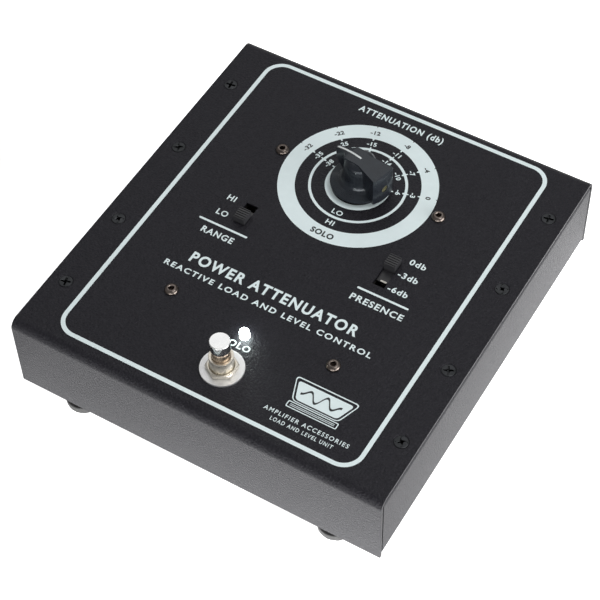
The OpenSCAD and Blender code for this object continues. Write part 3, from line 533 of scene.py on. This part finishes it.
def lettering(bm, text, cap, low, high, weight, spacing, left=None, width=None, base=0.0,
              middle=None, turn=0.0):
    """Adds flat letters. With left and width the letters are stretched to fill the line;
    with middle the text is centred there and turned by turn degrees."""
    mesh = glyphs(text, spacing, weight)
    x0, x1 = extent(mesh, 0)
    across = cap / CAP_HEIGHT * DIGIT_STRETCH if width is None else width / (x1 - x0)
    if middle is None:
        matrix = Matrix.Translation((left - x0 * across, base, 0))
    else:
        matrix = (Matrix.Translation((*middle, 0)) @ Matrix.Rotation(math.radians(turn), 4, "Z")
                  @ Matrix.Translation((-(x0 + x1) / 2 * across, -cap / 2, 0)))
    matrix = matrix @ Matrix.Diagonal((across, cap / CAP_HEIGHT, 1, 1))
    part = bmesh.new()
    part.from_mesh(mesh)
    bmesh.ops.remove_doubles(part, verts=part.verts, dist=GLYPH_WELD)
    bmesh.ops.dissolve_degenerate(part, dist=GLYPH_WELD, edges=part.edges)
    for v in part.verts:
        p = matrix @ Vector((v.co.x, v.co.y, 0))
        v.co = Vector((MIDDLE.x + p.x * MM, MIDDLE.y + p.y * MM, high if v.co.z > 0 else low))
    scratch = bpy.data.meshes.new("letters")
    part.to_mesh(scratch)
    part.free()
    bm.from_mesh(scratch)
    bpy.data.meshes.remove(scratch)
    bpy.data.meshes.remove(mesh)


DIAL = (0.0, 47.7)                          # middle of the printed rings
DETENTS = (165, 135, 105, 75, 45, 15)       # directions of the dial's positions, degrees from +X
ROUND = [i * 0.5 for i in range(720)]       # directions of the points of a printed ring
NUMBER_HEIGHT = 2.35


def polar(radius, degrees):
    a = math.radians(degrees)
    return DIAL[0] + radius * math.cos(a), DIAL[1] + radius * math.sin(a)


def near_detent(degrees, half_width, radius):
    """Whether a place on a ring is within half_width mm of a dial position."""
    return any(abs((degrees - d + 180) % 360 - 180) * math.pi / 180 * radius < half_width
               for d in DETENTS)


def border(bm, low, high):
    line, w, h, cy = 2.15, 160.65, 200.1, 0.9
    flat_band(bm, rounded_rect(w + line, h + line, 10.6, 0, cy),
              rounded_rect(w - line, h - line, 8.6, 0, cy), low, high)


def outer_ring(bm, low, high):
    outer = [polar(39.3 if near_detent(a, 0.25, 40) else 40.2, a) for a in ROUND]
    inner = [polar(30.4 if near_detent(a, 0.45, 31) else 31.5, a) for a in ROUND]
    flat_band(bm, outer, inner, low, high)


def middle_ring(bm, low, high):
    outer = [polar(25.8 if near_detent(a, 0.42, 25) else 24.85, a) for a in ROUND]
    inner = [polar(22.6 if near_detent(a, 0.42, 23) else 23.45, a) for a in ROUND]
    flat_band(bm, outer, inner, low, high)


def inner_ring(bm, low, high):
    outer = [polar(17.9 if near_detent(a, 0.42, 17) else 16.6, a) for a in ROUND]
    inner = [polar(13.4, a) for a in ROUND]
    flat_band(bm, outer, inner, low, high)


def dial_numbers(bm, low, high):
    for radius, texts in ((27.9, ("-35", "-25", "-15", "-11", "-7", "-3")),
                          (20.4, ("-38", "-28", "-18", "-14", "-10", "-6"))):
        for a, text in zip(DETENTS, texts):
            lettering(bm, text, NUMBER_HEIGHT, low, high, middle=polar(radius, a), turn=a - 90,
                      weight=0.03, spacing=1.05)
    for text, y, x0, width in (("LO", 25.7, -2.8, 5.7), ("HI", 18.4, -2.1, 4.4)):
        lettering(bm, text, 2.8, low, high, left=x0, width=width, base=y, weight=0.02, spacing=1.12)


def ring_numbers(bm, low, high):
    for a, text in zip(DETENTS, ("-32", "-22", "-12", "-8", "-4", "0")):
        lettering(bm, text, NUMBER_HEIGHT, low, high, middle=polar(35.6, a), turn=a - 90,
                  weight=0.03, spacing=1.05)
    lettering(bm, "SOLO", 3.1, low, high, left=-6.0, width=12.4, base=10.4, weight=0.04, spacing=1.15)


def panel_titles(bm, low, high):
    lettering(bm, "ATTENUATION (db)", 3.6, low, high, left=-25.0, width=48.3, base=92.0, weight=0.03,
              spacing=1.22)
    lettering(bm, "POWER ATTENUATOR", 5.8, low, high, left=-47.5, width=92.5, base=-34.4, weight=0.032,
              spacing=1.22)
    lettering(bm, "REACTIVE LOAD AND LEVEL CONTROL", 3.0, low, high, left=-57.0, width=114.0, base=-41.8,
              weight=0.026, spacing=1.3)


def switch_labels(bm, low, high):
    for text, x0, width, y, cap in (
            ("HI", -52.0, 4.5, 7.6, 3.3), ("LO", -52.0, 6.2, -2.8, 3.3), ("RANGE", -52.5, 17.8, -15.9, 3.5),
            ("0db", 45.8, 8.7, 16.1, 3.2), ("-3db", 44.4, 10.6, 6.9, 3.2), ("-6db", 44.2, 10.6, -2.9, 3.2),
            ("PRESENCE", 31.0, 28.2, -15.9, 3.5), ("SOLO", -7.6, 14.2, -67.3, 3.3)):
        lettering(bm, text, cap, low, high, left=x0, width=width, base=y, weight=0.024, spacing=1.18)
    flat_plate(bm, capsule(-57.5, -30.0, -8.7, 1.15), low, high)
    flat_plate(bm, capsule(31.3, 59.0, -8.2, 1.15), low, high)


EMBLEM = (49.6, -74.0)      # middle of the badge


def tapered(top, bottom, high_y, low_y, r):
    """A rounded trapezoid about x = 0, counted anticlockwise from its upper right corner."""
    steps = 8
    corners = [(top, high_y), (-top, high_y), (-bottom, low_y), (bottom, low_y)]
    points = []
    for k, corner in enumerate(corners):
        c, a, b = Vector(corner), Vector(corners[k - 1]), Vector(corners[(k + 1) % 4])
        p, q = c + (a - c).normalized() * r, c + (b - c).normalized() * r
        for i in range(steps + 1):
            t = i / steps
            points.append(tuple((1 - t) ** 2 * p + 2 * t * (1 - t) * c + t * t * q))
    return points


def emblem_wave(x):
    return 2.9 * math.sin(x * 2 * math.pi / 8.6) * math.cos(x * math.pi / 26.0)


def shifted(points):
    return [(EMBLEM[0] + x, EMBLEM[1] + y) for x, y in points]


def emblem(bm, low, high):
    """A generic badge: a tapering frame round a filled field, over a foot of fine lines."""
    flat_band(bm, shifted(tapered(16.9, 12.2, 7.4, -5.6, 2.4)),
              shifted(tapered(16.2, 11.7, 6.8, -5.2, 2.0)), low, high)
    flat_plate(bm, shifted(tapered(14.6, 10.9, 5.4, -4.4, 1.8)), low, high)
    flat_band(bm, shifted(rounded_rect(26.4, 3.6, 0.7, 0, -7.9)),
              shifted(rounded_rect(25.4, 2.6, 0.4, 0, -7.9)), low, high)
    for y in (-7.5, -8.3):
        flat_plate(bm, shifted(capsule(-11.6, 11.6, y, 0.3)), low, high)


def emblem_motif(bm, low, high):
    """The dark wave printed over the badge's field."""
    steps, half, thick = 96, 10.4, 0.62
    xs = [-half + 2 * half * i / steps for i in range(steps + 1)]
    upper = [(x, emblem_wave(x) + thick + 0.5) for x in xs]
    lower = [(x, emblem_wave(x) - thick + 0.5) for x in xs]
    flat_plate(bm, shifted(lower + upper[::-1]), low, high)


def small_print(bm, low, high):
    for text, x0, width, y, cap in (("AMPLIFIER ACCESSORIES", 28.4, 44.2, -89.7, 2.2),
                                    ("LOAD AND LEVEL UNIT", 34.0, 32.4, -93.5, 2.0)):
        lettering(bm, text, cap, low, high, left=x0, width=width, base=y, weight=0.012, spacing=1.3)


ink_piece("ink_border", border)
ink_piece("ink_dial_outer_ring", outer_ring)
ink_piece("ink_dial_middle_ring", middle_ring)
ink_piece("ink_dial_inner_ring", inner_ring)
ink_piece("ink_dial_numbers", dial_numbers)
ink_piece("ink_ring_numbers", ring_numbers, "dark_ink", INK)
ink_piece("ink_titles", panel_titles)
ink_piece("ink_switch_labels", switch_labels)
ink_piece("ink_emblem", emblem)
ink_piece("ink_emblem_motif", emblem_motif, "dark_ink", INK)
ink_piece("ink_small_print", small_print)


# ---------------------------------------------------------------- case and fixings

softened("cover_shell", "top_cover", "case", 0.28)
softened("chassis_shell", "base_chassis", "case", 0.28)
softened("foot_set", "rubber_feet", "case", 0.3)


def on_panel(node):
    """The middle of a CAD node in plan, at the panel's height."""
    low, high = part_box(node)
    return Vector(((low.x + high.x) / 2, (low.y + high.y) / 2, PANEL))


def islands(node):
    """The separate solids of a CAD node, as (lowest corner, highest corner)."""
    bm = bmesh.new()
    bm.from_mesh(frame["nodes"][node].data)
    bmesh.ops.remove_doubles(bm, verts=bm.verts, dist=WELD)
    left, found = set(bm.verts), []
    while left:
        group, queue = [], [left.pop()]
        while queue:
            v = queue.pop()
            group.append(v.co.copy())
            for e in v.link_edges:
                o = e.other_vert(v)
                if o in left:
                    left.remove(o)
                    queue.append(o)
        found.append((Vector(min(p[i] for p in group) for i in range(3)),
                      Vector(max(p[i] for p in group) for i in range(3))))
    bm.free()
    return sorted(found, key=lambda b: (round(b[0].x, 5), round(b[0].y, 5)))


def joined(name, parts):
    """Several objects as one mesh."""
    bm = bmesh.new()
    for part in parts:
        bm.from_mesh(part.data)
        bpy.data.objects.remove(part)
    bmesh.ops.dissolve_degenerate(bm, dist=WELD, edges=bm.edges)
    mesh = bpy.data.meshes.new(name)
    bm.to_mesh(mesh)
    bm.free()
    crease(mesh, SHARP)
    return new_object(name, mesh)


def hex_reach(angle, flats, corner_turn):
    """Distance from the middle to a hexagon's side, in the direction angle."""
    a = (angle - corner_turn) % 60 - 30
    return flats / 2 / math.cos(math.radians(a))


def nut_rings(at, flats, bore, low, high, to_rear=False):
    """Rings of a hexagon nut with turned-down corners on both faces; bore is a radius."""
    count, corner_turn, bevel, seat = 120, 30.0, 0.3, flats / 2 * 0.97
    corner_fall = 0.9 * math.tan(math.radians(26))
    rings = {k: [] for k in ("bore_low", "bevel_low", "seat_low", "side_low", "side_high", "seat_high",
                             "bevel_high", "bore_high")}
    for i in range(count):
        angle = 360.0 * i / count
        reach = hex_reach(angle, flats, corner_turn)
        drop = (reach - seat) * corner_fall
        for key, r, z in (("bore_low", bore, low + bevel), ("bevel_low", bore + bevel, low),
                          ("seat_low", seat, low), ("side_low", reach, low + drop),
                          ("side_high", reach, high - drop), ("seat_high", seat, high),
                          ("bevel_high", bore + bevel, high), ("bore_high", bore, high - bevel)):
            a = math.radians(angle)
            x, y, h = r * math.cos(a) * MM, r * math.sin(a) * MM, z * MM
            rings[key].append(at + (Vector((-x, h, y)) if to_rear else Vector((x, y, h))))
    return list(rings.values())


def board_screw(at, index):
    """Button-head screw: hexagon socket, domed crown, rim and shank."""
    count, flats, floor = 72, 2.6, -1.2

    def ring(radius, z, hexagon=False):
        points = []
        for i in range(count):
            angle = 360.0 * i / count
            r = hex_reach(angle, flats, 12 + 17 * index) * radius if hexagon else radius
            a = math.radians(angle)
            points.append(at + Vector((r * math.cos(a) * MM, r * math.sin(a) * MM, z * MM)))
        return points
    crown = [(1.56, 1.95), (2.05, 1.96), (2.35, 1.87), (2.7, 1.62), (3.05, 1.28), (3.32, 0.9),
             (3.46, 0.55), (3.49, 0.3), (3.42, 0.1), (3.28, 0.04), (1.5, 0.04)]
    rings = [ring(1.0, floor, True), ring(1.0, 1.62, True), ring(1.14, 1.86, True)]
    rings += [ring(r, z) for r, z in crown] + [ring(1.5, -5.0)]
    return stacked(f"board_screw_{index}", rings, 34)


def cover_screw(at, index):
    """Countersunk screw with a cross recess in its slightly domed head."""
    count, turn = 144, (20, 65, 38, 8, 52, 29, 74, 12)[index]

    def cross(half, reach, z):
        points = []
        for i in range(count):
            a = math.radians(360.0 * i / count)
            c, s = abs(math.cos(a)) + 1e-9, abs(math.sin(a)) + 1e-9
            r = max(min(reach / c, half / s), min(half / c, reach / s))
            b = a + math.radians(turn)
            points.append(at + Vector((r * math.cos(b) * MM, r * math.sin(b) * MM, z * MM)))
        return points

    def circle(radius, z):
        return turned([(radius, z)], at, count)[0]
    recess = ((0.36, 1.2, -2.4), (0.5, 2.3, -1.9), (0.58, 2.5, -0.14), (0.64, 2.56, -0.05))
    outside = ((2.9, -0.03), (3.2, -0.06), (3.36, -0.13), (3.42, -0.42), (1.76, -1.45), (1.75, -9.0))
    rings = [cross(*one) for one in recess] + [circle(*one) for one in outside]
    return stacked(f"cover_screw_{index}", rings, 34)


def screw_set(name, node, make, slot):
    parts = [make(Vector(((low.x + high.x) / 2, (low.y + high.y) / 2, PANEL)), n)
             for n, (low, high) in enumerate(islands(node))]
    settle(joined(name, parts), "case", slot, stands_for=(node,))


screw_set("cover_screw_set", "cover_screws", cover_screw, "black_screw")
screw_set("board_screw_set", "board_screws", board_screw, "bronze_screw")

softened("range_lever", "range_switch_lever", "range_slider", 0.12)
softened("presence_lever", "presence_switch_lever", "presence_slider", 0.12)


def painted_glint_strip():
    """Pale strip at the open end of the presence shutter, seen through its slot: a painted highlight
    standing for the glint there.
    """
    low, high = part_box("presence_switch_lever")
    wide, deep, sink, proud = 3.4, 0.9, 1.9, 1.68
    x = (low.x + high.x) / 2 - MIDDLE.x + 0.5 * MM
    bm = bmesh.new()
    y = (low.y - MIDDLE.y) / MM + deep / 2 + 0.1
    flat_plate(bm, rounded_rect(wide, deep, 0.3, x / MM, y, 4), PANEL - sink * MM, PANEL - proud * MM)
    return from_bmesh("presence_shutter_lip", bm)


settle(painted_glint_strip(), "presence_slider", "white_plastic")


# ---------------------------------------------------------------- footswitch and lamp

BUTTON_CAP = 5.8        # height of the cap on the plunger
foot_axis = on_panel("footswitch_washer")
button_top = (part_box("footswitch_button")[1].z - PANEL) / MM
cap_foot = button_top - BUTTON_CAP
nut_low, nut_high = ((c.z - PANEL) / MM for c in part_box("footswitch_nut"))

softened("footswitch_flat_washer", "footswitch_washer", "case", 0.2)
settle(ring_loop("footswitch_hex_nut", nut_rings(foot_axis, 14.0, 6.03, nut_low, nut_high)),
       "case", "nickel", "bushing_nickel", ("footswitch_nut",))


def footswitch_cap():
    """Turned cap with a narrow bevel round its flat top."""
    top, foot = button_top, cap_foot
    profile = fillet([
        (0.02, top - 0.02), (4.72, top), (4.93, top - 0.22), (4.95, foot + 0.3), (4.75, foot),
        (3.7, foot + 0.02), (3.6, foot + 1.0), (0.02, foot + 1.0)], 0.12)
    return stacked("footswitch_cap", turned(profile, foot_axis))


def footswitch_plunger():
    """Turned plunger with a narrower neck under the cap."""
    profile = fillet([
        (0.02, cap_foot - 0.01), (3.78, cap_foot - 0.01), (3.8, cap_foot - 0.95),
        (4.36, cap_foot - 1.25), (4.38, -1.0), (0.02, -1.0)], 0.15)
    return stacked("footswitch_plunger", turned(profile, foot_axis))


settle(footswitch_cap(), "solo_button", "chrome", "chrome", ("footswitch_button",))
settle(footswitch_plunger(), "solo_button", "chrome", "plunger_bronze", ("footswitch_button",))
softened("footswitch_bushing", "footswitch_body", "case", 0.3, material="bushing_nickel")


def lamp():
    """A 5 mm lens with a round end and a flange under the panel."""
    lens_r, dome_z, flange_r, flange_z = 2.43, 2.6, 2.88, -3.5
    dome = [(lens_r * math.sin(math.radians(a)), dome_z + lens_r * math.cos(math.radians(a)))
            for a in (0.6, 10, 20, 30, 40, 50, 60, 70, 80, 90)]
    profile = dome + [(lens_r, 0.2), (lens_r, flange_z), (flange_r, flange_z - 0.05),
                      (flange_r, flange_z - 1.0), (0.02, flange_z - 1.0)]
    return stacked("lamp_dome", turned(profile, on_panel("solo_lamp"), 48), 40)


settle(lamp(), "case", "lamp_lens", stands_for=("solo_lamp",))


# ---------------------------------------------------------------- knob

dial_axis = on_panel("rotary_switch_shaft")
softened("pointer_knob", "attenuation_knob", "dial", 0.38, 3, angle=24, sharp=40)
softened("knob_screw", "knob_set_screw", "dial", 0.1)


def pointer_line():
    """White line let into the top of the knob, from its axis to the beak's tip."""
    height, radius, half, sink, proud = 20.0, 41.0, 0.5, 0.5, 0.06
    start, length, steps = -0.3, 15.9, 28
    turn = Matrix.Rotation(math.radians(DETENTS[0]), 4, "Z")
    bm = bmesh.new()
    rows = []
    for i in range(steps + 1):
        u = start + length * i / steps
        z = height - radius + math.sqrt(radius ** 2 - max(u + 1, 0) ** 2) + proud
        row = []
        for side, h in ((-1, z - sink), (-1, z), (1, z), (1, z - sink)):
            p = turn @ Vector((u * MM, side * half * MM, h * MM))
            row.append(bm.verts.new(dial_axis + p))
        rows.append(row)
    for a, b in zip(rows, rows[1:]):
        for k in range(4):
            m = (k + 1) % 4
            bm.faces.new((a[k], a[m], b[m], b[k]))
    bm.faces.new(rows[0])
    bm.faces.new(list(reversed(rows[-1])))
    return from_bmesh("pointer_line", bm, 40)


settle(pointer_line(), "dial", "bakelite", "pointer_white")


# ---------------------------------------------------------------- rear panel

for name, node in (("amp_input_socket", "amp_input_jack"), ("speaker_output_socket", "speaker_output_jack"),
                   ("line_output_socket", "line_output_jack"), ("socket_washers", "jack_washers"),
                   ("level_control_body", "line_level_pot"), ("power_socket", "power_inlet")):
    softened(name, node, "case", 0.15)
softened("level_knob", "line_level_knob", "line_level", 0.2)


def rear_nut(name, low, high, flats, bore):
    at = Vector(((low.x + high.x) / 2, REAR, (low.z + high.z) / 2))
    return ring_loop(name, nut_rings(at, flats, bore, (low.y - REAR) / MM, (high.y - REAR) / MM,
                                     to_rear=True))


settle(joined("socket_nuts", [rear_nut(f"nut_{n}", low, high, 12.7, 4.78)
                              for n, (low, high) in enumerate(islands("jack_nuts"))]),
       "case", "nickel", stands_for=("jack_nuts",))
settle(rear_nut("level_nut", *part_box("line_level_nut"), 10.0, 3.58),
       "case", "nickel", stands_for=("line_level_nut",))


# ---------------------------------------------------------------- carried CAD nodes

for name, node in frame["nodes"].items():
    paint(node, SLOT_OF[name])
    crease(node.data, SHARP)


# ---------------------------------------------------------------- floor, light and camera

# The floor's glow against the distance from the case in metres: brightest close by
FLOOR_GLOW = ((0.0, 2.5), (0.03, 1.35), (0.10, 0.6))
# What that is multiplied by in front of the case, against X + 0.5 m, and elsewhere, against Y + 0.5 m
FRONT_GLOW = ((0.38, 0.70), (0.62, 1.35))
SIDE_GLOW = ((0.38, 0.45), (0.62, 0.90))


def floor():
    """A pale sheet of paper, 6 m square, whose glow stands for light thrown back by the studio."""
    bm = bmesh.new()
    count, size = 24, 3.0
    steps = [size * (2 * i / count - 1) for i in range(count + 1)]
    rows = [[bm.verts.new((x, y, 0.0)) for x in steps] for y in steps]
    for a, b in zip(rows, rows[1:]):
        for i in range(count):
            bm.faces.new((a[i], a[i + 1], b[i + 1], b[i]))
    obj = from_bmesh("floor", bm)
    s = Shader("paper", specular_ior_level=0.2, emission_color=(1, 1, 1, 1))
    s.colour(s.ramp(s.noise(60, 3.0), (0.3, 0.86), (0.7, 0.90)))
    near = s.ramp(s.beyond(MIDDLE, (COVER_HIGH - COVER_LOW) / 2), *FLOOR_GLOW)
    side = s.ramp(s.maths("MULTIPLY_ADD", s.axis("X"), 1.0, 0.5), *FRONT_GLOW)
    rear = s.ramp(s.maths("MULTIPLY_ADD", s.axis("Y"), 1.0, 0.5), *SIDE_GLOW)
    front = s.maths("LESS_THAN", s.axis("Y"), CASE_LOW.y)
    s.join(s.maths("MULTIPLY", near, s.mixed(front, rear, side)), s.shader.inputs["Emission Strength"])
    s.rough(s.noise(20), 0.7, 0.9)
    obj.data.materials.append(s.material)


def soft_light(name, place, target, size, power):
    """An area light; places and sizes are metres, and power is watts."""
    light = bpy.data.lights.new(name, "AREA")
    light.shape = "RECTANGLE"
    light.size, light.size_y = size
    light.energy = power
    obj = new_object(name, light)
    obj.location = place
    obj.rotation_euler = (Vector(target) - Vector(place)).to_track_quat("-Z", "Y").to_euler()


floor()
soft_light("back_softbox", (-0.55, 0.95, 1.35), (0.0, 0.0, 0.0), (1.5, 1.1), 4.2)
soft_light("overhead", (0.7, 0.1, 1.5), (0.0, 0.0, 0.0), (0.8, 0.8), 9)
soft_light("right_strip", (1.5, -0.1, 0.30), (0.0, 0.0, 0.03), (1.4, 0.4), 20)
soft_light("front_strip", (0.5, -1.5, 0.30), (0.0, 0.0, 0.03), (1.4, 0.4), 12)

world = bpy.data.worlds.new("studio")
bpy.context.scene.world = world
world.use_nodes = True
backdrop = world.node_tree.nodes["Background"]
backdrop.inputs["Color"].default_value = (1.0, 1.0, 1.0, 1)
backdrop.inputs["Strength"].default_value = 0.30

camera = bpy.data.cameras.new("camera")
camera.lens = 110.48
camera.sensor_width = 36
camera_object = new_object("camera", camera)
place = (0.29267, -0.48288, 0.74874)
look, up = Vector((-0.32241, 0.51323, -0.79539)), Vector((-0.39536, 0.69045, 0.60578))
right = look.cross(up)
camera_object.matrix_world = (Matrix.Translation(place)
                              @ Matrix((right, up, -look)).transposed().to_4x4())
bpy.context.scene.camera = camera_object
bpy.context.scene.view_settings.view_transform = "Standard"
